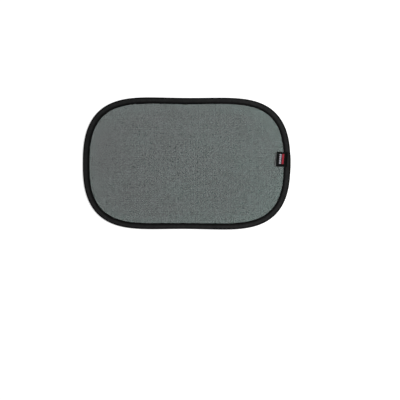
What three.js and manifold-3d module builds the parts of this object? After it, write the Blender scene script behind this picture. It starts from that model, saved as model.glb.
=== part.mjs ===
// Car side window sunshade: a mesh panel over a clear static-cling film, held taut by a sprung wire loop
// inside a sewn tape binding, with a woven label over the place where the tape and the wire are joined.
//
// Millimetres, +Z up. The shade lies on its back, the side against the window down on the plane z = 0.
// The origin is the middle of its outline on that plane, +X runs to the label's side and +Y to the top edge.

import * as THREE from 'three';
import { LoftGeometry } from 'three/addons/geometries/LoftGeometry.js';
import { mergeVertices } from 'three/addons/utils/BufferGeometryUtils.js';
import Module from 'manifold-3d';

// Outline. It is a superellipse whose long edges are drawn in a little at mid-width.
const WIDTH = 480;
const HEIGHT = 305;
const X_POWER = 4;
const Y_POWER = 2.6;
const WAIST_SHARE = 0.048;
const WAIST_POWER = 1.75;

// Clearance between round or curved neighbours
const CLEARANCE = 0.3;

// Spring wire loop and the sleeve crimped over its two butted ends
const WIRE_DIAMETER = 1.2;
const WIRE_END_GAP = 1;
const SLEEVE_LENGTH = 20;
const SLEEVE_WALL = 0.25;
const JOINT_HEIGHT = 5.6;

// Tape binding, folded over the wire and over the edges of both sheets. Its lip is the flat margin along the
// inner edge that the seam goes through.
const TAPE = 0.45;
const BINDING_WIDTH = 15.3;
const LIP_WIDTH = 4.5;
const REAR_RISE = 1.5;
const TAPE_LAP = 30;
const SWELL_RAMP = 14;

// Sheets caught between the two plies of the lip
const FILM = 0.15;
const MESH = 0.45;
const SHEET_GAP = 1.65;

// Openings of the mesh, drawn coarser than the real net, with a raised ridge on every rib between them
const MESH_PITCH = 6.5;
const SLOT_HEIGHT = 2;
const SLOTS_PER_ROW = 3;
const SLOT_BAR = 4;
const FIELD_MARGIN = 2;
const CUTTER_DEPTH = 3;
const RIDGE_WIDTH = 3;
const RIDGE_CREST = 1.4;
const RIDGE_HEIGHT = 0.2;
const RIDGE_ROOT = 0.1;

// Lockstitch seam
const THREAD_WIDTH = 0.5;
const THREAD_HEIGHT = 0.3;
const SEAM_MARGIN = 2;
const FLOOR_GAP = 0.1;

// Folded woven label
const LABEL = 0.7;
const LABEL_LENGTH = 33.5;
const LABEL_REACH = 17.3;
const LABEL_CLIMB = 3.6;
const LABEL_LIFT = 1.4;
const LABEL_RISE = 4.7;
const LABEL_LEAN = THREE.MathUtils.degToRad(5);

// Fineness of the faceting
const FINE_STEP = 3;
const COARSE_STEP = 14;
const OUTLINE_SAMPLES = 4000;
const WIRE_SIDES = 8;
const SLEEVE_SIDES = 12;
const BEAD_FACETS = 4;
const THREAD_FACETS = 4;
const MERGE_TOLERANCE = 1e-4;

// Heights of the layers at the lip, from the plane that the shade lies on
const REAR_LIP = FLOOR_GAP + THREAD_HEIGHT;
const FILM_BOTTOM = REAR_LIP + TAPE;
const MESH_BOTTOM = FILM_BOTTOM + FILM;
const FRONT_LIP = MESH_BOTTOM + MESH;
const LIP_TOP = FRONT_LIP + TAPE;
const LABEL_BOTTOM = LIP_TOP + TAPE;

// Distances from the outer edge, inwards
const LIP_START = BINDING_WIDTH - LIP_WIDTH;
const SEAM = BINDING_WIDTH - SEAM_MARGIN;
const LABEL_OUTER = LIP_START - LABEL_CLIMB;
const LABEL_INNER = BINDING_WIDTH + LABEL_REACH;

// Wire channel: the hollow that the tape's fold leaves round the wire, wider round the sleeve
const SLEEVE_BORE = WIRE_DIAMETER / 2 + CLEARANCE;
const SLEEVE_RADIUS = SLEEVE_BORE + SLEEVE_WALL;
const CHANNEL_RADIUS = WIRE_DIAMETER / 2 + CLEARANCE;
const SWOLLEN_RADIUS = SLEEVE_RADIUS + CLEARANCE;
const SHEET_EDGE = 2 * SWOLLEN_RADIUS + TAPE + SHEET_GAP;

const clamp = THREE.MathUtils.clamp;
const lerp = THREE.MathUtils.lerp;

const wasm = await Module();
wasm.setup();

// The shade's outline, counterclockwise from the middle of the right edge
class ShadeOutline extends THREE.Curve {

  constructor() {
    super();
    this.arcLengthDivisions = OUTLINE_SAMPLES;
    this.halfWidth = WIDTH / 2;
    this.halfHeight = 1;
    this.halfHeight = HEIGHT / 2 / this.tallestPoint();
  }

  tallestPoint() {
    let tallest = 0;
    for (let i = 0; i <= OUTLINE_SAMPLES; i++) {
      tallest = Math.max(tallest, this.getPoint(i / OUTLINE_SAMPLES).y);
    }
    return tallest;
  }

  getPoint(t, target = new THREE.Vector3()) {
    const angle = 2 * Math.PI * t;
    const c = Math.cos(angle);
    const s = Math.sin(angle);
    const x = Math.sign(c) * Math.abs(c) ** (2 / X_POWER);
    const y = Math.sign(s) * Math.abs(s) ** (2 / Y_POWER);
    const middle = Math.max(0, Math.cos(x * Math.PI / 2));
    const waist = 1 - WAIST_SHARE * middle ** WAIST_POWER;
    return target.set(this.halfWidth * x, this.halfHeight * y * waist, 0);
  }
}

const outline = new ShadeOutline();
const perimeter = outline.getLength();

// A point given by how far along the edge it is from the joint, how far in from the edge, and its height
function place(along, inward, z) {
  const share = THREE.MathUtils.euclideanModulo((along + JOINT_HEIGHT) / perimeter, 1);
  const point = outline.getPointAt(share);
  const tangent = outline.getTangentAt(share);
  return new THREE.Vector3(point.x - tangent.y * inward, point.y + tangent.x * inward, z);
}

// Places along the edge between two others, no further apart than the step
function steps(from, to, step) {
  const count = Math.max(1, Math.ceil((to - from) / step));
  return Array.from({ length: count + 1 }, (_, i) => lerp(from, to, i / count));
}

// Stretch beside the joint that is stepped finely
const JOINT_ZONE = 3 * FINE_STEP + Math.max(
  SLEEVE_LENGTH / 2 + SWELL_RAMP,
  TAPE_LAP / 2,
  LABEL_RISE + LABEL_LENGTH / 2,
);

// Once round the edge, from the joint back to the joint
function stations() {
  return [
    ...steps(0, JOINT_ZONE, FINE_STEP),
    ...steps(JOINT_ZONE, perimeter - JOINT_ZONE, COARSE_STEP).slice(1),
    ...steps(perimeter - JOINT_ZONE, perimeter, FINE_STEP).slice(1),
  ];
}

// Shortest way along the edge from the joint, negative below it
function fromJoint(along) {
  return along > perimeter / 2 ? along - perimeter : along;
}

// One inside the reach, falling to nought over the ramp
function fade(distance, reach, ramp) {
  return clamp((reach + ramp - Math.abs(distance)) / ramp, 0, 1);
}

// Inner radius of the tape's fold round the wire or the sleeve
function channelRadius(along) {
  const swell = fade(fromJoint(along), SLEEVE_LENGTH / 2 + FINE_STEP, SWELL_RAMP);
  return lerp(CHANNEL_RADIUS, SWOLLEN_RADIUS, THREE.MathUtils.smoothstep(swell, 0, 1));
}

// Distance of the wire's axis from the outer edge, and its height
function wireAxis(along) {
  return channelRadius(along) + TAPE;
}

// Extra thickness of the front ply where the tape's ends lie one over the other
function lapThickness(along) {
  return TAPE * fade(fromJoint(along), TAPE_LAP / 2, FINE_STEP);
}

// Height of the needle thread's underside: the lip's top, or the label's top where the seam crosses the label
function seamTop(along) {
  const over = fade(fromJoint(along) - LABEL_RISE, LABEL_LENGTH / 2 + FINE_STEP, FINE_STEP);
  return lerp(LIP_TOP + lapThickness(along), LABEL_BOTTOM + LABEL, over);
}

// Points of an arc in a section, angles in degrees
function arc(centreIn, centreZ, radius, fromAngle, toAngle, facets) {
  return Array.from({ length: facets + 1 }, (_, i) => {
    const angle = THREE.MathUtils.degToRad(lerp(fromAngle, toAngle, i / facets));
    return [centreIn + radius * Math.cos(angle), centreZ + radius * Math.sin(angle)];
  });
}

// A solid swept along the edge. sectionAt gives the section's corners, as pairs of distance inwards and
// height, counterclockwise.
function sweep(places, sectionAt, closed) {
  const sections = places.map((along) => sectionAt(along).map(([inward, z]) => place(along, inward, z)));
  if (closed) {
    sections[sections.length - 1] = sections[0];
  }
  return new LoftGeometry(sections, { capStart: !closed, capEnd: !closed });
}

// The outline set in from the outer edge, as points in the XY plane
function insetOutline(inward) {
  return stations().slice(0, -1).map((along) => place(along, inward, 0));
}

// A flat sheet whose edge lies between the plies of the binding
function sheetGeometry(bottom, thickness) {
  const shape = new THREE.Shape(insetOutline(SHEET_EDGE).map((p) => new THREE.Vector2(p.x, p.y)));
  const geometry = new THREE.ExtrudeGeometry(shape, { depth: thickness, bevelEnabled: false });
  return geometry.translate(0, 0, bottom);
}

// Half the length of a straight line across the open field at a height y
function fieldHalfLength(field, y) {
  let half = 0;
  field.forEach((p, i) => {
    const q = field[(i + 1) % field.length];
    if ((p.y - y) * (q.y - y) <= 0 && p.y !== q.y) {
      half = Math.max(half, lerp(p.x, q.x, (y - p.y) / (q.y - p.y)));
    }
  });
  return half;
}

// The solids that cut a row of slots across the field, between upright bars that line up from row to row
function slotRow(field, y) {
  const half = fieldHalfLength(field, Math.abs(y) + SLOT_HEIGHT / 2);
  const longest = fieldHalfLength(field, 0);
  const barAt = (i) => lerp(-longest, longest, i / SLOTS_PER_ROW);
  return Array.from({ length: SLOTS_PER_ROW }, (_, i) => {
    const left = i === 0 ? -half : barAt(i) + SLOT_BAR / 2;
    const right = i === SLOTS_PER_ROW - 1 ? half : barAt(i + 1) - SLOT_BAR / 2;
    const cutter = new THREE.BoxGeometry(right - left, SLOT_HEIGHT, CUTTER_DEPTH);
    return cutter.translate((left + right) / 2, y, MESH_BOTTOM + MESH / 2);
  });
}

// A raised ridge along a rib between two rows of slots
function ridgeGeometry(field, y) {
  const half = fieldHalfLength(field, Math.abs(y) + RIDGE_WIDTH / 2);
  const root = FRONT_LIP - RIDGE_ROOT;
  const crest = FRONT_LIP + RIDGE_HEIGHT;
  const section = [
    [y - RIDGE_WIDTH / 2, root],
    [y + RIDGE_WIDTH / 2, root],
    [y + RIDGE_CREST / 2, crest],
    [y - RIDGE_CREST / 2, crest],
  ];
  const ends = [-half, half].map((x) => section.map(([sy, sz]) => new THREE.Vector3(x, sy, sz)));
  return new LoftGeometry(ends, { capStart: true, capEnd: true });
}

function toManifold(geometry) {
  const bare = new THREE.BufferGeometry();
  bare.setAttribute('position', geometry.attributes.position);
  bare.setIndex(geometry.index);
  const merged = mergeVertices(bare, MERGE_TOLERANCE);
  return new wasm.Manifold(new wasm.Mesh({
    numProp: 3,
    vertProperties: new Float32Array(merged.attributes.position.array),
    triVerts: new Uint32Array(merged.index.array),
  }));
}

function toGeometry(solid) {
  const mesh = solid.getMesh();
  const geometry = new THREE.BufferGeometry();
  geometry.setAttribute('position', new THREE.BufferAttribute(mesh.vertProperties, 3));
  geometry.setIndex(new THREE.BufferAttribute(mesh.triVerts, 1));
  geometry.computeVertexNormals();
  return geometry;
}

// Mesh panel: one thin sheet with rows of slots and a ridge on every rib
function meshPanelGeometry() {
  const field = insetOutline(BINDING_WIDTH + FIELD_MARGIN);
  const middle = place(perimeter / 4 - JOINT_HEIGHT, BINDING_WIDTH + FIELD_MARGIN, 0);
  const rows = Math.floor((2 * middle.y - RIDGE_WIDTH) / MESH_PITCH);
  const rowAt = (i) => (i - (rows - 1) / 2) * MESH_PITCH;
  let solid = toManifold(sheetGeometry(MESH_BOTTOM, MESH));
  for (let i = 0; i <= rows; i++) {
    solid = solid.add(toManifold(ridgeGeometry(field, rowAt(i - 0.5))));
  }
  for (let i = 0; i < rows; i++) {
    for (const cutter of slotRow(field, rowAt(i))) {
      solid = solid.subtract(toManifold(cutter));
    }
  }
  return toGeometry(solid);
}

function clingFilmGeometry() {
  return sheetGeometry(FILM_BOTTOM, FILM);
}

// Spring wire: an open loop, its ends a small gap apart in the sleeve
function springWireGeometry() {
  const ends = [WIRE_END_GAP / 2, perimeter - WIRE_END_GAP / 2];
  const between = stations().filter((along) => along > ends[0] && along < ends[1]);
  const turn = 360 * (1 - 1 / WIRE_SIDES);
  const sectionAt = (along) => {
    const axis = wireAxis(along);
    return arc(axis, axis, WIRE_DIAMETER / 2, 0, turn, WIRE_SIDES - 1);
  };
  return sweep([ends[0], ...between, ends[1]], sectionAt, false);
}

function wireSleeveGeometry() {
  const end = SLEEVE_LENGTH / 2;
  const profile = [
    [SLEEVE_BORE, -end],
    [SLEEVE_RADIUS, -end],
    [SLEEVE_RADIUS, end],
    [SLEEVE_BORE, end],
    [SLEEVE_BORE, -end],
  ];
  return new THREE.LatheGeometry(profile.map(([r, y]) => new THREE.Vector2(r, y)), SLEEVE_SIDES);
}

// Section of the folded tape: from the lip's top over the bead round the wire and along the flat rear ply to
// the lip's underside, then back along the inner face
function bindingSection(along) {
  const inner = channelRadius(along);
  const axis = wireAxis(along);
  const lap = lapThickness(along);
  const bead = arc(axis, axis, axis, 90, 270, BEAD_FACETS).map(([inward, z]) => {
    const front = clamp((z - axis) / axis, 0, 1);
    return [inward, z + lap * front];
  });
  return [
    [BINDING_WIDTH, LIP_TOP + lap],
    [LIP_START, LIP_TOP + lap],
    ...bead,
    [LIP_START - REAR_RISE, 0],
    [LIP_START, REAR_LIP],
    [BINDING_WIDTH, REAR_LIP],
    [BINDING_WIDTH, FILM_BOTTOM],
    [LIP_START, FILM_BOTTOM],
    [LIP_START - REAR_RISE, TAPE],
    ...arc(axis, axis, inner, 270, 90, BEAD_FACETS),
    [LIP_START, FRONT_LIP],
    [BINDING_WIDTH, FRONT_LIP],
  ];
}

function edgeBindingGeometry() {
  return sweep(stations(), bindingSection, true);
}

// Half-round section of a thread drawn down on the tape: its flat side lies at the height flat, and it bulges
// up from there between the angles 0 and 180, or down between 180 and 360
function threadSection(flat, fromAngle) {
  return arc(0, 0, 1, fromAngle, fromAngle + 180, THREAD_FACETS).map(([across, rise]) => [
    SEAM + across * THREAD_WIDTH / 2,
    flat + rise * THREAD_HEIGHT,
  ]);
}

function needleThreadGeometry() {
  return sweep(stations(), (along) => threadSection(seamTop(along), 0), true);
}

function bobbinThreadGeometry() {
  return sweep(stations(), () => threadSection(REAR_LIP, 180), true);
}

// Label: a leaning rectangle that lies over the lip. Its outer end climbs the binding, and its free inner end
// stands up a little over the mesh.
function labelTabGeometry() {
  const swollenAxis = SWOLLEN_RADIUS + TAPE;
  const beadTop = 2 * swollenAxis + TAPE + CLEARANCE;
  const slope = (beadTop - LABEL_BOTTOM) / (LIP_START - swollenAxis);
  const flatStart = LIP_START + CLEARANCE;
  const middle = place(LABEL_RISE, 0, 0);
  const tangent = outline.getTangentAt((LABEL_RISE + JOINT_HEIGHT) / perimeter);
  const sections = steps(-LABEL_LENGTH / 2, LABEL_LENGTH / 2, FINE_STEP).map((up) => {
    const lean = -Math.tan(LABEL_LEAN) * up;
    const outer = LABEL_OUTER + lean;
    const inner = LABEL_INNER + lean;
    const outerBottom = LABEL_BOTTOM + slope * (flatStart - outer);
    const innerBottom = LABEL_BOTTOM + LABEL_LIFT;
    const corners = [
      [outer, outerBottom],
      [flatStart, LABEL_BOTTOM],
      [BINDING_WIDTH, LABEL_BOTTOM],
      [inner, innerBottom],
      [inner, innerBottom + LABEL],
      [BINDING_WIDTH, LABEL_BOTTOM + LABEL],
      [flatStart, LABEL_BOTTOM + LABEL],
      [outer, outerBottom + LABEL],
    ];
    return corners.map(([inward, z]) => new THREE.Vector3(
      middle.x + tangent.x * up - tangent.y * inward,
      middle.y + tangent.y * up + tangent.x * inward,
      z,
    ));
  });
  return new LoftGeometry(sections, { capStart: true, capEnd: true });
}

function mesh(name, geometry, material) {
  const piece = new THREE.Mesh(geometry, new THREE.MeshStandardMaterial(material));
  piece.name = name;
  return piece;
}

function wireSleeve() {
  const steel = { color: 0x8f9194, roughness: 0.35, metalness: 1 };
  const sleeve = mesh('wire_sleeve', wireSleeveGeometry(), steel);
  const tangent = outline.getTangentAt(JOINT_HEIGHT / perimeter);
  sleeve.position.copy(place(0, wireAxis(0), wireAxis(0)));
  sleeve.rotation.z = Math.atan2(tangent.y, tangent.x) - Math.PI / 2;
  return sleeve;
}

const sunshade = new THREE.Group();
sunshade.add(
  mesh('mesh_panel', meshPanelGeometry(), { color: 0x2e3232, roughness: 0.7, metalness: 0 }),
  mesh('cling_film', clingFilmGeometry(), {
    color: 0xf2f5f5, roughness: 0.15, metalness: 0, transparent: true, opacity: 0.2,
  }),
  mesh('spring_wire', springWireGeometry(), { color: 0x9a9ca0, roughness: 0.3, metalness: 1 }),
  wireSleeve(),
  mesh('edge_binding', edgeBindingGeometry(), { color: 0x232424, roughness: 0.85, metalness: 0 }),
  mesh('needle_thread', needleThreadGeometry(), { color: 0x141515, roughness: 0.6, metalness: 0 }),
  mesh('bobbin_thread', bobbinThreadGeometry(), { color: 0x141515, roughness: 0.6, metalness: 0 }),
  mesh('label_tab', labelTabGeometry(), { color: 0x101112, roughness: 0.7, metalness: 0 }),
);

export default sunshade;
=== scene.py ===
"""Looks of a car side window sunshade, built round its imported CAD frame.

The shade lies on its back on a white floor: a net panel over a clear film, inside a sewn tape binding
with a woven label. Lengths are in metres. Places on the border are given by how far along the edge
they are from the joint of the tape, how far in from the outer edge, and their height.
"""

import math

import bpy
import numpy as np
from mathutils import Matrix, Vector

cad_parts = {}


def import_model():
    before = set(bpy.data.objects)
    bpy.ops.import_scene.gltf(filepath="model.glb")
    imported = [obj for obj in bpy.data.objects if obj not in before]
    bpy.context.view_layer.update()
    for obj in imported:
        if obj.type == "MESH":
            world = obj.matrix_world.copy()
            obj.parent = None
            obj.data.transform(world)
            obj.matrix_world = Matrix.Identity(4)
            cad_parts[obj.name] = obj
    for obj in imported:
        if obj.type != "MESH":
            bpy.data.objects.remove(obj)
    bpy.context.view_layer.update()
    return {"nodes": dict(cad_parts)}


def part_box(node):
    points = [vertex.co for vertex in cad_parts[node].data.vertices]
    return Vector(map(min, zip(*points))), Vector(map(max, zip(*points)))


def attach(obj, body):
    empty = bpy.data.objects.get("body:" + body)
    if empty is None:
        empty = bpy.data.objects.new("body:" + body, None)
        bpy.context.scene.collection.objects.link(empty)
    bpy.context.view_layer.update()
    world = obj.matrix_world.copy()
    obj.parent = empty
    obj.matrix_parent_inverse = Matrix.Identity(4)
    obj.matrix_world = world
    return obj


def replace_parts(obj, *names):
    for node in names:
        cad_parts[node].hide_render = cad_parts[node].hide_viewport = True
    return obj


MM = 0.001

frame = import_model()
BINDING_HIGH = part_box("edge_binding")[1]
HALF_LENGTH = BINDING_HIGH.x
HALF_HEIGHT = BINDING_HIGH.y

# Outline, as in the CAD model. Its points are worked out finely once, and more coarsely where a line
# set in from it is wanted.
X_POWER = 4
Y_POWER = 2.6
WAIST_SHARE = 0.048
WAIST_POWER = 1.75
OUTLINE_SAMPLES = 40000
INSET_SAMPLES = 4000
JOINT_HEIGHT = 5.6 * MM

# Binding and wire, as in the CAD model
TAPE = 0.45 * MM
BINDING_WIDTH = 15.3 * MM
LIP_WIDTH = 4.5 * MM
REAR_RISE = 1.5 * MM
CHANNEL_RADIUS = 0.9 * MM
SWOLLEN_RADIUS = 1.45 * MM
SWELL_REACH = 13 * MM
SWELL_RAMP = 14 * MM
TAPE_LAP = 30 * MM
SEAM_MARGIN = 2 * MM
SHEET_EDGE = 5 * MM

# Heights of the layers at the lip, as in the CAD model
REAR_LIP = 0.4 * MM
FILM_BOTTOM = REAR_LIP + TAPE
FILM = 0.15 * MM
MESH_BOTTOM = FILM_BOTTOM + FILM
MESH = 0.45 * MM
FRONT_LIP = MESH_BOTTOM + MESH
LIP_TOP = FRONT_LIP + TAPE
LABEL_BOTTOM = LIP_TOP + TAPE

# The sewn tape isn't of one width all round: waves of the width as (waves in a round, size, place of a
# crest as an angle round the edge from the joint), and how much the mean width differs from the solid's
WIDTH_WAVES = [(1, 0.4 * MM, 85), (2, 0.7 * MM, -10), (29, 0.12 * MM, 40), (53, 0.08 * MM, 15)]
WIDTH_SHIFT = -0.42 * MM

# The bead stands out a little at the middle of the shade's right side
BULGE = 0.45 * MM
BULGE_REACH = 10 * MM
BULGE_RAMP = 20 * MM

# Unevenness of the tape's front: a dip along the seam, puckers at the stitches, and soft cockles along
# the edge as waves of (length, direction in degrees, phase)
SEAM_DIP = 0.22 * MM
SEAM_DIP_REACH = 1.1 * MM
PUCKER = 0.09 * MM
PUCKER_REACH = 3.5 * MM
COCKLE = 0.1 * MM
COCKLE_WAVES = [(23 * MM, 0, 0.3), (41 * MM, 0, 1.9), (67 * MM, 0, 4.0)]

# Section of the folded tape. Shares of the front face run from the lip's edge to the top of the bead.
NOSE = 0.12 * MM
NOSE_SHARE = 0.3
REAR_NOSE_SHARE = 0.4
REAR_SEAM_DIP = 0.08 * MM
FRONT_SHARES = (0.02, 0.96)
UNDER_SHARES = (0.9, 0.02)
FRONT_POINTS = 15
UNDER_POINTS = 7
BEAD_POINTS = 13
CHANNEL_POINTS = 9
PLACES_PER_STITCH = 3

# Lap of the tape: its upper end lies on the lower one, from the lip's edge to an angle round the bead's
# outer side, where it thins out
LAP_SHARES = (0.01, 0.96)
LAP_START = 90
LAP_END = 215
LAP_THIN_FROM = 110
LAP_THINNING = 0.85
LAP_GAP = 0.02 * MM
LAP_TURNED = 0.18 * MM
LAP_TURNED_REACH = 2.2 * MM
LAP_LOOSE = 0.05 * MM
LAP_TIGHTER_ENDS = 0.6
LAP_PLACES = 61
LAP_FRONT_POINTS = 14
LAP_ARC_POINTS = 12

# Lockstitch seam. Shares are of the thread's radius.
STITCH_PITCH = 3.2 * MM
STITCH_LENGTH = 2.7 * MM
STITCH_STEPS = 7
THREAD_RADIUS = 0.19 * MM
THREAD_SIDES = 6
THREAD_SEAT = 0.55
THREAD_DIVE = 1.5
THREAD_DIVE_POWER = 4
THREAD_TAPER = 0.35
THREAD_TAPER_POWER = 3
THREAD_FLATNESS = 0.8

# The open field of the panel, as levels of the outline's formula: level 1 is the outer edge
FIELD_EDGE = 0.8
FIELD_RAMP = 0.4

# Net of the mesh panel. A yarn's level and the step between the two layers are shares of its thickness,
# and the waves are (length, direction in degrees, phase).
NET_PITCH = 1.5 * MM
NET_SEAT = 0.55
NET_STEP = 1.02
NET_SWELL = 0.35 * MM
NET_SWELL_WAVES = [(190 * MM, 20, 0.4), (130 * MM, 75, 2.0), (90 * MM, 140, 4.1)]
YARN_WIDTH = 0.83 * MM
YARN_THICKNESS = 0.15 * MM
YARN_FLAT_SHARE = 0.55
YARN_POINTS = 16
YARN_WANDER = 0.06 * MM
YARN_WANDER_WAVES = [(83 * MM, 10, 0.0), (37 * MM, 35, 1.1), (61 * MM, 80, 2.3)]
YARN_SHIFT = 0.07 * MM
YARN_JITTER = 0.6 * YARN_SHIFT
YARN_SEED = 5

# Clear film, its rings of points closer together towards its edge
FILM_RINGS = 36
FILM_RING_POWER = 0.8
FILM_SPOKES = 240
FILM_RIPPLE = 0.25 * MM
FILM_WAVES = [(120 * MM, 50, 0.9), (70 * MM, 110, 3.0), (150 * MM, 170, 5.2)]

# Label: its two ends by how far in from the outer edge they are, its middle by how far up from the joint
LABEL_LENGTH = 33.8 * MM
LABEL_OUTER = 7.2 * MM
LABEL_INNER = 32.6 * MM
LABEL_MIDDLE = 0.5 * (LABEL_OUTER + LABEL_INNER)
LABEL_HALF_WIDTH = 0.5 * (LABEL_INNER - LABEL_OUTER)
LABEL_RISE = 5.4 * MM
LABEL_LEAN = math.radians(3.5)
LABEL_PLY = 0.33 * MM
LABEL_SLIT_SHARE = 0.04
LABEL_LAY = 0.28 * MM
LABEL_ROWS = 33
LABEL_UPPER_POINTS = 40
LABEL_LOWER_POINTS = 28
LABEL_FOLD_POINTS = 7

# The label's free end is lifted, its lower corner most, and curls up
LABEL_LIFT = 1.4 * MM
LABEL_TWIST = 0.6 * MM
LABEL_CURL = 1.4 * MM
LABEL_LIFT_POWER = 1.5
LABEL_CURL_POWER = 3
LABEL_FREE_MOST = 1.1

# Raised satin on the label, placed from the label's middle, outwards and up
PATCH_RISE = 0.09 * MM
PATCH_SUNK = 0.04 * MM
PATCH_SLANT = 0.035
STRIPE_ACROSS = (0.15 * MM, 4.55 * MM)
STRIPE_UP = (-11.1 * MM, 12.4 * MM)
STRIPE_COLUMNS = 9
STRIPE_ROWS = 41
LOZENGES = 5
LOZENGE_PITCH = 4.7 * MM
LOZENGE_HALF_WIDTH = 3.1 * MM
LOZENGE_HALF_HEIGHT = 1.6 * MM
LOZENGE_TAPER = 0.8
LOZENGE_ACROSS = -3.7 * MM
LOZENGE_UP = 0.6 * MM
LOZENGE_POINTS = 13

# Colours of the label's yarns, each a darker and a lighter tone
LABEL_BLACKS = ((0.00096, 0.00126, 0.0012, 1.0), (0.0036, 0.004725, 0.0045, 1.0))
LABEL_REDS = ((0.23, 0.015, 0.025, 1.0), (0.41, 0.04, 0.06, 1.0))
LABEL_PALES = ((0.42, 0.3948, 0.4452, 1.0), (0.62, 0.5828, 0.6572, 1.0))

# Floor: it glows a little for the camera, and more further away, so that a low view shows it white
FLOOR_HALF = 12.0
FLOOR_GREY = 0.8
FLOOR_GLOW = 0.5
FAR_GLOW = 0.72
FAR_START = 0.6
FAR_END = 2.0

# Light
AMBIENT = 0.38
KEY_POWER = 42.0
KEY_PLACE = (1.6, 0.55, 1.5)
KEY_SIZE = 0.5

# Camera: the photograph's frame is this wide at the object, its middle is this far from the object's
# middle, and the object lies in it turned by a small angle
FRAME_WIDTH = 0.925
FRAME_CENTRE_X = 0.0314
FRAME_CENTRE_Y = -0.0844
FRAME_TURN = math.radians(0.31)
CAMERA_DISTANCE = 5.0
CAMERA_REACH = 100.0
SENSOR_WIDTH = 36.0


def smooth(t):
    """Nought to one with soft ends."""
    t = np.clip(t, 0, 1)
    return t * t * (3 - 2 * t)


def fade(distance, reach, ramp):
    """One inside the reach, falling to nought over the ramp."""
    return np.clip((reach + ramp - np.abs(distance)) / ramp, 0, 1)


def ripple(x, y, waves):
    """Sum of plane waves, each (length, direction in degrees, phase), scaled to about one."""
    total = np.zeros(np.broadcast(x, y).shape)
    for length, direction, phase in waves:
        c = math.cos(math.radians(direction))
        s = math.sin(math.radians(direction))
        total += np.sin(2 * math.pi * (x * c + y * s) / length + phase)
    return total / len(waves)


class Outline:
    """The shade's outer edge, counterclockwise, measured from the tape's joint on its right side."""

    def __init__(self):
        t = np.linspace(0, 2 * math.pi, OUTLINE_SAMPLES + 1)
        c, s = np.cos(t), np.sin(t)
        x = np.sign(c) * np.abs(c) ** (2 / X_POWER)
        y = np.sign(s) * np.abs(s) ** (2 / Y_POWER)
        waist = 1 - WAIST_SHARE * np.maximum(0, np.cos(x * math.pi / 2)) ** WAIST_POWER
        y = y * waist
        self.x = x * HALF_LENGTH
        self.y = y * HALF_HEIGHT / y.max()
        pieces = np.hypot(np.diff(self.x), np.diff(self.y))
        self.along = np.concatenate([[0], np.cumsum(pieces)])
        self.length = self.along[-1]
        tx, ty = np.gradient(self.x), np.gradient(self.y)
        tx[0] = tx[-1] = 0
        size = np.hypot(tx, ty)
        self.nx, self.ny = -ty / size, tx / size

    def at(self, along, inward):
        """Points at a distance inwards from the edge."""
        s = np.mod(along + JOINT_HEIGHT, self.length)
        x, y, nx, ny = (np.interp(s, self.along, v) for v in (self.x, self.y, self.nx, self.ny))
        return x + nx * inward, y + ny * inward


EDGE = Outline()


def from_joint(along):
    """Shortest way along the edge from the joint, negative below it."""
    return np.mod(along + EDGE.length / 2, EDGE.length) - EDGE.length / 2


def new_object(name, points, faces, material, smooth_shaded=True, attributes=None):
    """A mesh object that rides on the shade's one body."""
    mesh = bpy.data.meshes.new(name)
    mesh.from_pydata(points.reshape(-1, 3).tolist(), [], faces)
    mesh.materials.append(material)
    mesh.polygons.foreach_set("use_smooth", [smooth_shaded] * len(mesh.polygons))
    for key, values in (attributes or {}).items():
        layer = mesh.attributes.new(key, "FLOAT", "POINT")
        layer.data.foreach_set("value", np.asarray(values, np.float32).ravel())
    mesh.update()
    obj = bpy.data.objects.new(name, mesh)
    bpy.context.scene.collection.objects.link(obj)
    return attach(obj, "root")


def grid_faces(rows, columns, closed_rows, closed_columns):
    """Quads of a grid of points, in rows, with the faces on the left of the rows' direction."""
    faces = []
    for i in range(rows if closed_rows else rows - 1):
        for j in range(columns if closed_columns else columns - 1):
            a = i * columns + j
            b = i * columns + (j + 1) % columns
            c = (i + 1) % rows * columns + (j + 1) % columns
            d = (i + 1) % rows * columns + j
            faces.append((a, b, c, d))
    return faces


def tube_faces(rows, columns):
    """Faces of a tube, closed round each row of points and capped at both ends."""
    faces = grid_faces(rows, columns, False, True)
    faces.append(tuple(reversed(range(columns))))
    faces.append(tuple(range((rows - 1) * columns, rows * columns)))
    return faces


def copied(faces, count, step, first=0):
    """Faces of a number of like pieces, each with its points a step after those of the one before."""
    starts = [first + i * step for i in range(count)]
    return [tuple(start + corner for corner in face) for start in starts for face in faces]


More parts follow.
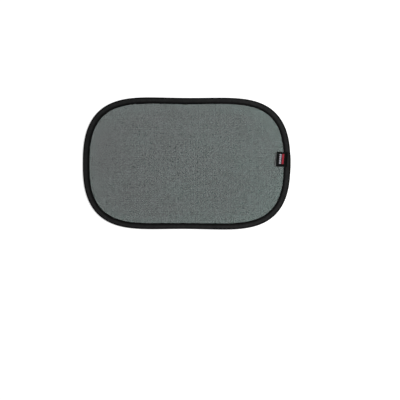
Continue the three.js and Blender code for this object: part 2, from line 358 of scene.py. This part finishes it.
class Shader:
    """A node material with a Principled shader, and short ways to add nodes to it."""

    def __init__(self, name, **values):
        self.material = bpy.data.materials.new(name)
        self.material.use_nodes = True
        self.tree = self.material.node_tree
        self.shader = self.tree.nodes["Principled BSDF"]
        self.output = self.tree.nodes["Material Output"]
        for key, value in values.items():
            self.shader.inputs[key].default_value = value

    def add(self, kind, **settings):
        node = self.tree.nodes.new(kind)
        for key, value in settings.items():
            setattr(node, key, value)
        return node

    def link(self, source, target):
        self.tree.links.new(source, target)

    def feed(self, socket, value):
        """Links a socket to another socket, or sets its value."""
        if isinstance(value, bpy.types.NodeSocket):
            self.link(value, socket)
        else:
            socket.default_value = value

    def math(self, operation, a, b=0.0):
        node = self.add("ShaderNodeMath", operation=operation)
        self.feed(node.inputs[0], a)
        self.feed(node.inputs[1], b)
        return node.outputs[0]

    def mix(self, factor, a, b):
        node = self.add("ShaderNodeMix", data_type="RGBA")
        self.feed(node.inputs["Factor"], factor)
        self.feed(node.inputs["A"], a)
        self.feed(node.inputs["B"], b)
        return node.outputs["Result"]

    def bring(self, value, low, high, to_low=0.0, to_high=1.0):
        """A value brought from one range to another, and kept inside it."""
        node = self.add("ShaderNodeMapRange")
        self.link(value, node.inputs["Value"])
        node.inputs["From Min"].default_value = low
        node.inputs["From Max"].default_value = high
        node.inputs["To Min"].default_value = to_low
        node.inputs["To Max"].default_value = to_high
        return node.outputs["Result"]

    def attribute(self, name):
        return self.add("ShaderNodeAttribute", attribute_name=name).outputs["Fac"]

    def position(self):
        return self.add("ShaderNodeTexCoord").outputs["Object"]

    def x_and_y(self):
        node = self.add("ShaderNodeSeparateXYZ")
        self.link(self.position(), node.inputs[0])
        return node.outputs[0], node.outputs[1]

    def noise(self, vector, scale, detail=3.0):
        node = self.add("ShaderNodeTexNoise")
        self.link(vector, node.inputs["Vector"])
        node.inputs["Scale"].default_value = scale
        node.inputs["Detail"].default_value = detail
        return node.outputs["Fac"]

    def wave(self, value, period):
        """A sine of a length, between nought and one."""
        turned = self.math("MULTIPLY", value, 2 * math.pi / period)
        return self.math("MULTIPLY", self.math("ADD", self.math("SINE", turned), 1.0), 0.5)

    def bump(self, height, strength, distance):
        node = self.add("ShaderNodeBump")
        node.inputs["Strength"].default_value = strength
        node.inputs["Distance"].default_value = distance
        self.link(height, node.inputs["Height"])
        self.link(node.outputs["Normal"], self.shader.inputs["Normal"])

    def gloss(self, level):
        self.shader.inputs["Specular IOR Level"].default_value = level

    def colour(self, value):
        self.feed(self.shader.inputs["Base Color"], value)


def grey(level, red=1.0, green=1.0, blue=1.0):
    return (level * red, level * green, level * blue, 1.0)


def yarn_material():
    """Dark polyester yarn of the net: twisted, with light specks in slanted rows, partly paler fibres
    and
    partly painted glints. Painted light: the yarn is lighter towards the panel's right and bottom, and
    darker towards its upper left."""
    dark_left = grey(0.008, 0.9, 1.0, 1.0)
    dark_right = grey(0.024, 0.85, 1.1, 1.0)
    bright_left = grey(0.108, 0.92, 0.98, 1.0)
    bright_right = grey(0.123, 0.765, 1.04, 0.995)
    fall = -0.4
    slant = math.radians(45)
    stretch = 0.6
    twist = 0.5 * MM
    s = Shader("net_yarn", Roughness=0.8)
    s.gloss(0.1)
    slanted = s.add("ShaderNodeMapping")
    s.link(s.position(), slanted.inputs["Vector"])
    slanted.inputs["Rotation"].default_value = (0, 0, slant)
    slanted.inputs["Scale"].default_value = (1.0, stretch, 1.0)
    # Specks: partly paler fibres, partly painted glints
    fibres = s.noise(slanted.outputs["Vector"], scale=480.0, detail=1.0)
    fibres_and_glints = s.bring(fibres, low=0.37, high=0.63)
    x, y = s.x_and_y()
    # Painted light: the colour runs from a shaded left end to a lit right end, rising to the right and
    # down
    across = s.math("ADD", x, s.math("MULTIPLY", y, fall))
    right = s.bring(across, low=-HALF_LENGTH, high=HALF_LENGTH)
    dark = s.mix(right, dark_left, dark_right)
    bright = s.mix(right, bright_left, bright_right)
    s.colour(s.mix(fibres_and_glints, dark, bright))
    s.bump(s.wave(s.math("ADD", x, y), twist), strength=0.5, distance=0.05 * MM)
    return s.material


def tape_painted_shade(s, across_share):
    """Painted shading across the tape's width: dark along the outer fold, which turns away from the
    light, and darkest on the lip by the seam, where shade falls. The tones are (share of the width, grey
    level)."""
    tones = [
        (0.0, 0.006),
        (0.15, 0.008),
        (0.27, 0.0185),
        (0.55, 0.018),
        (0.68, 0.0125),
        (0.8, 0.003),
        (1.0, 0.0025),
    ]
    ramp = s.add("ShaderNodeValToRGB")
    s.link(across_share, ramp.inputs["Fac"])
    ramp.color_ramp.interpolation = "EASE"
    for place, _ in tones[1:-1]:
        ramp.color_ramp.elements.new(place)
    for element, (place, level) in zip(ramp.color_ramp.elements, tones):
        element.position = place
        element.color = grey(level, 0.98, 1.0, 1.01)
    return ramp.outputs["Color"]


def tape_material():
    """Black woven tape: fine ribs across it, worn in patches, and painted lighter to the right, as if
    lit from there.
    """
    rib_pitch = 0.9 * MM
    end_pitch = 0.55 * MM
    rib_share = 0.7
    painted_light_slope = 0.6
    s = Shader("binding_tape", Roughness=0.95)
    s.gloss(0.05)
    rib = s.wave(s.attribute("along"), rib_pitch)
    end = s.wave(s.attribute("across"), end_pitch)
    weave = s.math("ADD", s.math("MULTIPLY", rib, rib_share), s.math("MULTIPLY", end, 1 - rib_share))
    # Each of these three factors is about one on average
    worn = s.math("ADD", s.noise(s.position(), scale=160.0, detail=4.0), 0.5)
    woven = s.math("SUBTRACT", 1.25, s.math("MULTIPLY", weave, 0.5))
    # Painted light: the tape is made lighter towards the right, where the lamp is
    x, _ = s.x_and_y()
    painted_light = s.math("ADD", s.math("MULTIPLY", x, painted_light_slope), 1.0)
    shade = s.math("MULTIPLY", s.math("MULTIPLY", worn, woven), painted_light)
    toned = s.add("ShaderNodeVectorMath", operation="SCALE")
    # Painted shade across the width: a dark outer fold and a darker lip
    s.link(tape_painted_shade(s, s.attribute("share")), toned.inputs[0])
    s.link(shade, toned.inputs["Scale"])
    s.colour(toned.outputs[0])
    s.bump(weave, strength=0.8, distance=0.14 * MM)
    return s.material


def thread_material():
    """Black twisted sewing thread."""
    twist = 0.35 * MM
    s = Shader("sewing_thread", Roughness=0.45)
    s.gloss(0.3)
    fibres = s.noise(s.position(), scale=400.0)
    s.colour(s.mix(fibres, grey(0.006), grey(0.014)))
    s.bump(s.wave(s.attribute("along"), twist), strength=0.6, distance=0.06 * MM)
    return s.material


def film_material():
    """Clear static-cling film with a faint green tint, its gloss a little uneven."""
    s = Shader("cling_film", Alpha=0.16, IOR=1.53)
    s.gloss(1.0)
    clouds = s.noise(s.position(), scale=30.0, detail=2.0)
    s.colour(s.mix(clouds, (0.3, 0.82, 0.64, 1.0), (0.4, 0.88, 0.72, 1.0)))
    dull = s.bring(clouds, low=0.0, high=1.0, to_low=0.08, to_high=0.26)
    s.link(dull, s.shader.inputs["Roughness"])
    waves = s.noise(s.position(), scale=90.0, detail=2.0)
    s.bump(waves, strength=0.15, distance=0.3 * MM)
    return s.material


def label_material(name, tones, roughness):
    """Woven label yarn in one colour, in fine slanted satin floats."""
    row_pitch = 0.42 * MM
    float_pitch = 0.36 * MM
    float_slant = 0.5
    s = Shader(name, Roughness=roughness)
    s.gloss(0.07)
    x, y = s.x_and_y()
    rows = s.wave(y, row_pitch)
    floats = s.wave(s.math("ADD", x, s.math("MULTIPLY", y, float_slant)), float_pitch)
    weave = s.math("MULTIPLY", rows, floats)
    s.colour(s.mix(weave, *tones))
    s.bump(weave, strength=0.5, distance=0.06 * MM)
    return s.material


def steel_material(name, level):
    """Drawn steel with fine marks."""
    s = Shader(name, Metallic=1.0, Roughness=0.32)
    marks = s.noise(s.position(), scale=700.0, detail=2.0)
    s.colour(s.mix(marks, grey(level * 0.8), grey(level)))
    s.bump(marks, strength=0.2, distance=0.02 * MM)
    return s.material


def width(along):
    """Width of the binding's front at a place along the edge."""
    total = BINDING_WIDTH + WIDTH_SHIFT
    for count, size, crest in WIDTH_WAVES:
        total = total + size * np.cos(count * (2 * math.pi * along / EDGE.length - math.radians(crest)))
    return total


def lip_start(along):
    return width(along) - LIP_WIDTH


def seam(along):
    return width(along) - SEAM_MARGIN


def bulge(along, inward):
    """How far the bead stands out beyond the edge."""
    near = smooth(fade(from_joint(along + JOINT_HEIGHT), BULGE_REACH, BULGE_RAMP))
    return BULGE * near * smooth(1 - inward / (BINDING_WIDTH - LIP_WIDTH))


def channel_radius(along):
    """Inner radius of the tape's fold round the wire, wider round the wire's sleeve."""
    swell = smooth(fade(from_joint(along), SWELL_REACH, SWELL_RAMP))
    return CHANNEL_RADIUS + (SWOLLEN_RADIUS - CHANNEL_RADIUS) * swell


def plain_height(along, inward):
    """Height of the binding's front face, from the top of the bead inwards, without its relief."""
    axis = channel_radius(along) + TAPE
    share = smooth((inward - axis) / (lip_start(along) - axis))
    return 2 * axis + (LIP_TOP - 2 * axis) * share


def tape_relief(along, inward):
    """How far the tape's front stands off its plain form."""
    near_seam = np.exp(-(((inward - seam(along)) / SEAM_DIP_REACH) ** 2))
    near_lip = np.exp(-(((inward - width(along)) / PUCKER_REACH) ** 2))
    pull = PUCKER * np.cos(2 * math.pi * along / STITCH_PITCH)
    cockle = COCKLE * ripple(along, 0 * along, COCKLE_WAVES)
    return pull * near_lip - SEAM_DIP * near_seam + cockle * smooth(inward / lip_start(along))


def column(along, inward, z):
    """One corner of each section."""
    inward = np.broadcast_to(inward, along.shape)
    z = np.broadcast_to(z, along.shape)
    return np.stack([inward, z], axis=-1)[:, None]


def arc_points(centre, radius, angles):
    """Corners of each section on an arc, at angles in degrees. centre holds one value for each place
    along the edge, and radius one for each place or for each place and angle."""
    turn = np.radians(angles)
    radius = radius if radius.ndim == 2 else radius[:, None]
    inward = centre[:, None] + radius * np.cos(turn)
    z = centre[:, None] + radius * np.sin(turn)
    return np.stack([inward, z], axis=-1)


def front_strip(along, shares, lift, relief):
    """Corners of each section on the binding's front face, at shares of the way from the lip's edge to
    the bead, lifted by a height. relief is the share of the tape's unevenness that they take."""
    axis = channel_radius(along) + TAPE
    strips = []
    for share in shares:
        inward = width(along) + (axis - width(along)) * share
        z = plain_height(along, inward) + relief * tape_relief(along, inward)
        strips.append(column(along, inward, z + lift))
    return np.concatenate(strips, axis=1)


def sweep(name, along, section, material, closed):
    """A solid swept along the edge. section is an array (places, corners, 2) of distances inwards and
    heights, its corners in counterclockwise order."""
    inward, z = section[..., 0], section[..., 1]
    x, y = EDGE.at(along[:, None], inward - bulge(along[:, None], inward))
    points = np.stack([x, y, z], axis=-1)
    rows, columns = inward.shape
    faces = grid_faces(rows, columns, True, True) if closed else tube_faces(rows, columns)
    places = np.broadcast_to(along[:, None], inward.shape)
    extra = {"along": places, "across": inward, "share": inward / width(places)}
    return new_object(name, points, faces, material, attributes=extra)


def binding_sections(along):
    """The folded tape: front ply, bead round the wire, rear ply, and back along the inside."""
    inner = channel_radius(along)
    axis = inner + TAPE
    lip = LIP_TOP + tape_relief(along, width(along))
    nose = width(along) + NOSE
    return np.concatenate(
        [
            column(along, nose, lip - NOSE_SHARE * TAPE),
            front_strip(along, np.linspace(*FRONT_SHARES, FRONT_POINTS), 0, 1),
            arc_points(axis, axis, np.linspace(90, 270, BEAD_POINTS)),
            column(along, 0.5 * lip_start(along), 0),
            column(along, lip_start(along) - REAR_RISE, 0),
            column(along, lip_start(along) - 0.5 * REAR_RISE, 0.45 * REAR_LIP),
            column(along, lip_start(along), REAR_LIP),
            column(along, seam(along), REAR_LIP + REAR_SEAM_DIP),
            column(along, width(along), REAR_LIP),
            column(along, nose, REAR_LIP + REAR_NOSE_SHARE * TAPE),
            column(along, width(along), FILM_BOTTOM),
            column(along, lip_start(along), FILM_BOTTOM),
            column(along, lip_start(along) - REAR_RISE, TAPE),
            arc_points(axis, inner, np.linspace(270, 90, CHANNEL_POINTS)),
            front_strip(along, np.linspace(*UNDER_SHARES, UNDER_POINTS), -TAPE, 0),
            column(along, nose, lip - (1 - NOSE_SHARE) * TAPE),
        ],
        axis=1,
    )


def binding(material):
    """The tape, in one closed ring."""
    places = PLACES_PER_STITCH * round(EDGE.length / STITCH_PITCH)
    along = np.arange(places) * EDGE.length / places
    ring = sweep("binding_tape", along, binding_sections(along), material, True)
    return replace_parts(ring, "edge_binding")


def binding_lap(material):
    """The end of the tape, its raw edges turned under, laid over its beginning."""
    along = np.linspace(-TAPE_LAP / 2, TAPE_LAP / 2, LAP_PLACES)
    axis = channel_radius(along) + TAPE
    from_end = TAPE_LAP / 2 - np.abs(along)
    turned = LAP_TURNED * np.exp(-((from_end / LAP_TURNED_REACH) ** 2))
    thickness = TAPE + turned
    angles = np.linspace(LAP_START, LAP_END, LAP_ARC_POINTS)
    thinning = 1 - LAP_THINNING * smooth((angles - LAP_THIN_FROM) / (LAP_END - LAP_THIN_FROM))
    loose = LAP_LOOSE * np.sin(math.pi * (angles - LAP_START) / (LAP_END - LAP_START))
    loose = loose * (1 - LAP_TIGHTER_ENDS * (2 * along / TAPE_LAP) ** 2)[:, None]
    under = axis[:, None] + LAP_GAP + loose
    rim = under + thickness[:, None] * thinning
    shares = np.linspace(*LAP_SHARES, LAP_FRONT_POINTS)
    upwards = np.stack([0 * thickness, LAP_GAP + thickness], axis=-1)[:, None]
    section = np.concatenate(
        [
            front_strip(along, shares, 0, 1) + upwards,
            arc_points(axis, rim, angles),
            arc_points(axis, under, angles)[:, ::-1],
            front_strip(along, shares[::-1], LAP_GAP, 1),
        ],
        axis=1,
    )
    lap = sweep("binding_lap", along, section, material, False)
    return lap


def half_across(fixed, along_x):
    """Half the length of a straight line across the sheets' cut edge: along X at the height fixed, or
    along Y at the place fixed."""
    x, y = EDGE.at(np.linspace(0, EDGE.length, INSET_SAMPLES), SHEET_EDGE)
    if along_x:
        crest = x[np.argmax(y)]
        keep = (x > abs(crest)) & (y >= 0)
        order = np.argsort(y[keep])
        return np.interp(np.abs(fixed), y[keep][order], x[keep][order])
    keep = (y > 0) & (x >= 0)
    order = np.argsort(x[keep])
    return np.interp(np.abs(fixed), x[keep][order], y[keep][order])


def inside_share(x, y):
    """Nought at the binding, one over most of the open field."""
    level = np.abs(x / HALF_LENGTH) ** X_POWER + np.abs(y / HALF_HEIGHT) ** Y_POWER
    return smooth((FIELD_EDGE - level) / FIELD_RAMP)


def net_swell(x, y):
    """The panel's gentle unevenness, nowhere below its plain level."""
    return NET_SWELL * inside_share(x, y) * 0.5 * (1 + ripple(x, y, NET_SWELL_WAVES))


def yarn_section():
    """Flat, rounded section of a yarn: across and up."""
    half, rise = YARN_WIDTH / 2, YARN_THICKNESS / 2
    flat = YARN_FLAT_SHARE * half
    return np.array([[half, 0], [flat, rise], [-flat, rise], [-half, 0], [-flat, -rise], [flat, -rise]])


def net_yarns(along_x, level):
    """All the yarns of one direction, as arrays of points (yarns, points along, corners, 3)."""
    reach = HALF_HEIGHT if along_x else HALF_LENGTH
    count = int((reach - SHEET_EDGE) / NET_PITCH)
    across = np.arange(-count, count + 1) * NET_PITCH
    run = half_across(across, along_x)[:, None] * np.linspace(-1, 1, YARN_POINTS)
    side = across[:, None] + YARN_WANDER * ripple(run, 3 * across[:, None], YARN_WANDER_WAVES)
    chance = np.random.default_rng(YARN_SEED + along_x)
    side = side + YARN_SHIFT * chance.standard_normal((len(across), 1))
    side = side + YARN_JITTER * chance.standard_normal(run.shape)
    x, y = (run, side) if along_x else (side, run)
    section = yarn_section()
    centre = np.stack([x, y, level + net_swell(x, y)], axis=-1)
    points = np.repeat(centre[:, :, None], len(section), axis=2)
    points[..., 1 if along_x else 0] += section[:, 0] * (1 if along_x else -1)
    points[..., 2] += section[:, 1]
    return points


def net_panel(material):
    """The net: yarns one way laid on the yarns the other way."""
    low = MESH_BOTTOM + NET_SEAT * YARN_THICKNESS
    high = low + NET_STEP * YARN_THICKNESS
    points, faces, first = [], [], 0
    for yarns in (net_yarns(False, low), net_yarns(True, high)):
        count, rows, columns, _ = yarns.shape
        faces += copied(tube_faces(rows, columns), count, rows * columns, first)
        points.append(yarns.reshape(-1, 3))
        first += count * rows * columns
    net = new_object("net_panel", np.concatenate(points), faces, material, smooth_shaded=False)
    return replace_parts(net, "mesh_panel")


def film_height(x, y):
    """Height of the film's underside: it hangs a little below its seam, in soft ripples."""
    return FILM_BOTTOM - FILM_RIPPLE * inside_share(x, y) * (1 + ripple(x, y, FILM_WAVES))


def cling_sheet(material):
    """Clear film behind the net, as a thin closed sheet in rings from its middle to its cut edge."""
    spokes = np.arange(FILM_SPOKES) * EDGE.length / FILM_SPOKES
    edge_x, edge_y = EDGE.at(spokes, SHEET_EDGE)
    shares = np.linspace(0, 1, FILM_RINGS + 1)[1:] ** FILM_RING_POWER
    x, y = shares[:, None] * edge_x, shares[:, None] * edge_y
    bottom = np.stack([x, y, film_height(x, y)], axis=-1)
    top = bottom + np.array([0, 0, FILM])
    middle = np.array([[0, 0, float(film_height(0.0, 0.0))]])
    points = np.concatenate([top.reshape(-1, 3), bottom.reshape(-1, 3), middle + [0, 0, FILM], middle])
    half = FILM_RINGS * FILM_SPOKES
    last = half - FILM_SPOKES
    rings = grid_faces(FILM_RINGS, FILM_SPOKES, False, True)
    faces = [tuple(reversed(face)) for face in rings] + copied(rings, 1, 0, half)
    for j in range(FILM_SPOKES):
        k = (j + 1) % FILM_SPOKES
        faces.append((2 * half, j, k))
        faces.append((2 * half + 1, half + k, half + j))
        faces.append((last + j, half + last + j, half + last + k, last + k))
    film = new_object("cling_sheet", points, faces, material)
    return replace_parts(film, "cling_film")


def on_label(along):
    """True where the seam crosses the label."""
    return np.abs(from_joint(along) - LABEL_RISE) < LABEL_LENGTH / 2


def seam_height(along):
    """Height of what the upper thread lies on."""
    lap = (TAPE + LAP_GAP) * (np.abs(from_joint(along)) < TAPE_LAP / 2)
    plain = plain_height(along, seam(along)) + tape_relief(along, seam(along)) + lap
    return np.where(on_label(along), LABEL_BOTTOM + LABEL_LAY + 2 * LABEL_PLY, plain)


def stitches(name, material, replaced, upper):
    """A row of separate stitches: each a short thread that dips into the layers at both ends."""
    count = round(EDGE.length / STITCH_PITCH)
    centre = (np.arange(count) + 0.5) * EDGE.length / count
    share = np.linspace(-1, 1, STITCH_STEPS)
    along = centre[:, None] + 0.5 * STITCH_LENGTH * share
    up = 1 if upper else -1
    base = seam_height(centre)[:, None] + 0 * along if upper else np.full(along.shape, REAR_LIP)
    dive = THREAD_DIVE * np.abs(share) ** THREAD_DIVE_POWER
    middle = base + up * THREAD_RADIUS * (THREAD_SEAT - dive)
    angle = np.linspace(0, 2 * math.pi, THREAD_SIDES, endpoint=False)
    taper = 1 - THREAD_TAPER * np.abs(share[:, None]) ** THREAD_TAPER_POWER
    inward = seam(along)[..., None] + THREAD_RADIUS * np.cos(angle) * taper
    z = middle[..., None] + THREAD_FLATNESS * THREAD_RADIUS * np.sin(angle)
    x, y = EDGE.at(along[..., None], inward)
    points = np.stack([x, y, z], axis=-1)
    faces = copied(tube_faces(STITCH_STEPS, THREAD_SIDES), count, STITCH_STEPS * THREAD_SIDES)
    extra = {"along": np.broadcast_to(along[..., None], z.shape)}
    thread = new_object(name, points, faces, material, attributes=extra)
    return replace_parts(thread, replaced)


def label_drape(along, inward, v):
    """Height of the label's underside: it climbs the binding outwards, and its free end is lifted."""
    on_tape = plain_height(along, np.minimum(inward, lip_start(along))) + TAPE + LABEL_LAY
    free = np.clip((inward - BINDING_WIDTH) / (LABEL_INNER - BINDING_WIDTH), 0, LABEL_FREE_MOST)
    lift = LABEL_LIFT - LABEL_TWIST * v / (0.5 * LABEL_LENGTH)
    rise = lift * free**LABEL_LIFT_POWER
    curl = LABEL_CURL * free**LABEL_CURL_POWER
    return np.maximum(LABEL_BOTTOM, on_tape) + rise + curl


def label_points(u, v, height):
    """Points of the label: u runs outwards across it and v up along it, both from its middle, and
    height is measured from its underside. The label isn't bent along the edge, so it is laid out on a
    straight frame."""
    c, s = math.cos(LABEL_LEAN), math.sin(LABEL_LEAN)
    up = v * c - u * s
    inward = LABEL_MIDDLE - (u * c + v * s)
    x, y = EDGE.at(np.array([LABEL_RISE, LABEL_RISE]), np.array([0, 1]))
    nx, ny = x[1] - x[0], y[1] - y[0]
    z = label_drape(LABEL_RISE + up, inward, v) + height
    return np.stack([x[0] + nx * inward + ny * up, y[0] + ny * inward - nx * up, z], axis=-1)


def label_section():
    """Places across the folded label and heights: in along the top of its upper ply, round the fold,
    out along the underside of its lower ply as far as the lip, and back between the two plies."""
    turn = np.radians(np.linspace(90, 270, LABEL_FOLD_POINTS))[1:-1]
    fold = 0.5 * LABEL_PLY - LABEL_HALF_WIDTH
    upper = np.linspace(LABEL_HALF_WIDTH, fold, LABEL_UPPER_POINTS)
    lower = np.linspace(fold, LABEL_MIDDLE - (BINDING_WIDTH - LIP_WIDTH), LABEL_LOWER_POINTS)
    u = np.concatenate([upper, fold + LABEL_PLY * np.cos(turn), lower, lower[::-1], upper[::-1]])
    height = np.concatenate(
        [
            np.full(LABEL_UPPER_POINTS, 2 * LABEL_PLY),
            LABEL_PLY + LABEL_PLY * np.sin(turn),
            np.zeros(LABEL_LOWER_POINTS),
            np.full(LABEL_LOWER_POINTS, (1 - LABEL_SLIT_SHARE) * LABEL_PLY),
            np.full(LABEL_UPPER_POINTS, (1 + LABEL_SLIT_SHARE) * LABEL_PLY),
        ]
    )
    return u, height


def label_cloth(material):
    """The folded woven label."""
    u, height = label_section()
    v = np.linspace(-0.5, 0.5, LABEL_ROWS) * LABEL_LENGTH
    points = label_points(u[None, :], v[:, None], height[None, :])
    label = new_object("label_cloth", points, tube_faces(len(v), len(u)), material)
    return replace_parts(label, "label_tab")


def raised_patches(name, u, v, material):
    """Raised satin patches on the label. u and v are arrays of places (patches, rows, columns)."""
    patches, rows, columns = u.shape
    top = label_points(u, v, 2 * LABEL_PLY + PATCH_RISE)
    bottom = label_points(u, v, 2 * LABEL_PLY - PATCH_SUNK)
    half = rows * columns
    upper = grid_faces(rows, columns, False, False)
    lower = [tuple(half + corner for corner in reversed(face)) for face in upper]
    one = upper + lower
    rim = [(0, j) for j in range(columns)]
    rim += [(i, columns - 1) for i in range(1, rows)]
    rim += [(rows - 1, j) for j in range(columns - 2, -1, -1)]
    rim += [(i, 0) for i in range(rows - 2, 0, -1)]
    ring = [i * columns + j for i, j in rim]
    for a, b in zip(ring, ring[1:] + ring[:1]):
        one.append((b, a, half + a, half + b))
    points = np.stack([top, bottom], axis=1)
    patch = new_object(name, points, copied(one, patches, 2 * half), material)
    return patch


def label_stripe(material):
    """A stripe up the label, outside its middle."""
    across = np.linspace(*STRIPE_ACROSS, STRIPE_COLUMNS)
    up = np.linspace(*STRIPE_UP, STRIPE_ROWS)
    u, v = np.meshgrid(across, up)
    u = u + PATCH_SLANT * v
    return raised_patches("label_stripe", u[None], v[None], material)


def label_lozenges(material):
    """A row of lozenges up the label, inside its middle."""
    steps = np.linspace(-1, 1, LOZENGE_POINTS)
    across, up = np.meshgrid(steps, steps)
    u = across * (1 - LOZENGE_TAPER * np.abs(up)) * LOZENGE_HALF_WIDTH + LOZENGE_ACROSS
    centres = (np.arange(LOZENGES) - 0.5 * (LOZENGES - 1)) * LOZENGE_PITCH + LOZENGE_UP
    v = centres[:, None, None] + up * LOZENGE_HALF_HEIGHT
    u = u + PATCH_SLANT * v
    return raised_patches("label_lozenges", u, v, material)


def dress_frame():
    """Materials for the CAD pieces that stay: the wire loop and its sleeve, inside the binding."""
    for node, level in (("spring_wire", 0.45), ("wire_sleeve", 0.38)):
        obj = frame["nodes"][node]
        obj.data.materials.clear()
        obj.data.materials.append(steel_material(node + "_steel", level))


def floor_material():
    """White that keeps a soft shadow. From below it isn't there, so that the shade's back shows."""
    s = Shader("floor")
    s.tree.nodes.remove(s.shader)
    lit = s.add("ShaderNodeBsdfDiffuse")
    lit.inputs["Color"].default_value = grey(FLOOR_GREY)
    path = s.add("ShaderNodeLightPath")
    seen = s.math("MAXIMUM", path.outputs["Is Camera Ray"], path.outputs["Is Glossy Ray"])
    seen = s.math("MAXIMUM", seen, path.outputs["Is Transmission Ray"])
    away = s.add("ShaderNodeVectorMath", operation="LENGTH")
    s.link(s.position(), away.inputs[0])
    distance = away.outputs["Value"]
    level = s.bring(distance, low=FAR_START, high=FAR_END, to_low=FLOOR_GLOW, to_high=FAR_GLOW)
    glow = s.add("ShaderNodeEmission")
    glow.inputs["Color"].default_value = grey(1.0)
    s.link(s.math("MULTIPLY", seen, level), glow.inputs["Strength"])
    both = s.add("ShaderNodeAddShader")
    s.link(lit.outputs[0], both.inputs[0])
    s.link(glow.outputs[0], both.inputs[1])
    side = s.add("ShaderNodeNewGeometry")
    clear = s.add("ShaderNodeBsdfTransparent")
    mixed = s.add("ShaderNodeMixShader")
    s.link(side.outputs["Backfacing"], mixed.inputs[0])
    s.link(both.outputs[0], mixed.inputs[1])
    s.link(clear.outputs[0], mixed.inputs[2])
    s.link(mixed.outputs[0], s.output.inputs["Surface"])
    return s.material


def floor():
    """A large square under the shade."""
    mesh = bpy.data.meshes.new("floor")
    r = FLOOR_HALF
    mesh.from_pydata([(-r, -r, 0), (r, -r, 0), (r, r, 0), (-r, r, 0)], [], [(0, 1, 2, 3)])
    mesh.materials.append(floor_material())
    obj = bpy.data.objects.new("floor", mesh)
    bpy.context.scene.collection.objects.link(obj)


def world():
    """Even pale light from all round. Where the world itself is seen, it is white."""
    sky = bpy.data.worlds.new("studio")
    bpy.context.scene.world = sky
    sky.use_nodes = True
    tree = sky.node_tree
    background = tree.nodes["Background"]
    background.inputs["Color"].default_value = grey(1.0)
    path = tree.nodes.new("ShaderNodeLightPath")
    seen = tree.nodes.new("ShaderNodeMath")
    seen.operation = "MAXIMUM"
    tree.links.new(path.outputs["Is Camera Ray"], seen.inputs[0])
    tree.links.new(path.outputs["Is Transmission Ray"], seen.inputs[1])
    level = tree.nodes.new("ShaderNodeMapRange")
    tree.links.new(seen.outputs[0], level.inputs["Value"])
    level.inputs["To Min"].default_value = AMBIENT
    level.inputs["To Max"].default_value = 1.0
    tree.links.new(level.outputs["Result"], background.inputs["Strength"])


def key_light():
    """One soft lamp above and to the right."""
    lamp = bpy.data.lights.new("key", "AREA")
    lamp.shape = "DISK"
    lamp.size = KEY_SIZE
    lamp.energy = KEY_POWER
    obj = bpy.data.objects.new("key", lamp)
    obj.location = KEY_PLACE
    direction = -obj.location.normalized()
    obj.rotation_euler = direction.to_track_quat("-Z", "Y").to_euler()
    bpy.context.scene.collection.objects.link(obj)


def camera():
    """Straight down, from far off, as the photograph shows the shade."""
    data = bpy.data.cameras.new("camera")
    data.sensor_width = SENSOR_WIDTH
    data.lens = SENSOR_WIDTH * CAMERA_DISTANCE / FRAME_WIDTH
    data.clip_end = CAMERA_REACH
    obj = bpy.data.objects.new("camera", data)
    obj.location = (FRAME_CENTRE_X, FRAME_CENTRE_Y, CAMERA_DISTANCE)
    obj.rotation_euler = (0, 0, FRAME_TURN)
    bpy.context.scene.collection.objects.link(obj)
    bpy.context.scene.camera = obj


def shade():
    """All the pieces of the shade."""
    tape = tape_material()
    thread = thread_material()
    ground = label_material("label_ground", LABEL_BLACKS, 0.7)
    red = label_material("label_red", LABEL_REDS, 0.6)
    pale = label_material("label_pale", LABEL_PALES, 0.6)
    binding(tape)
    binding_lap(tape)
    cling_sheet(film_material())
    net_panel(yarn_material())
    stitches("needle_stitches", thread, "needle_thread", True)
    stitches("bobbin_stitches", thread, "bobbin_thread", False)
    label_cloth(ground)
    label_stripe(red)
    label_lozenges(pale)
    dress_frame()


bpy.context.scene.view_settings.view_transform = "Standard"
shade()
floor()
world()
key_light()
camera()
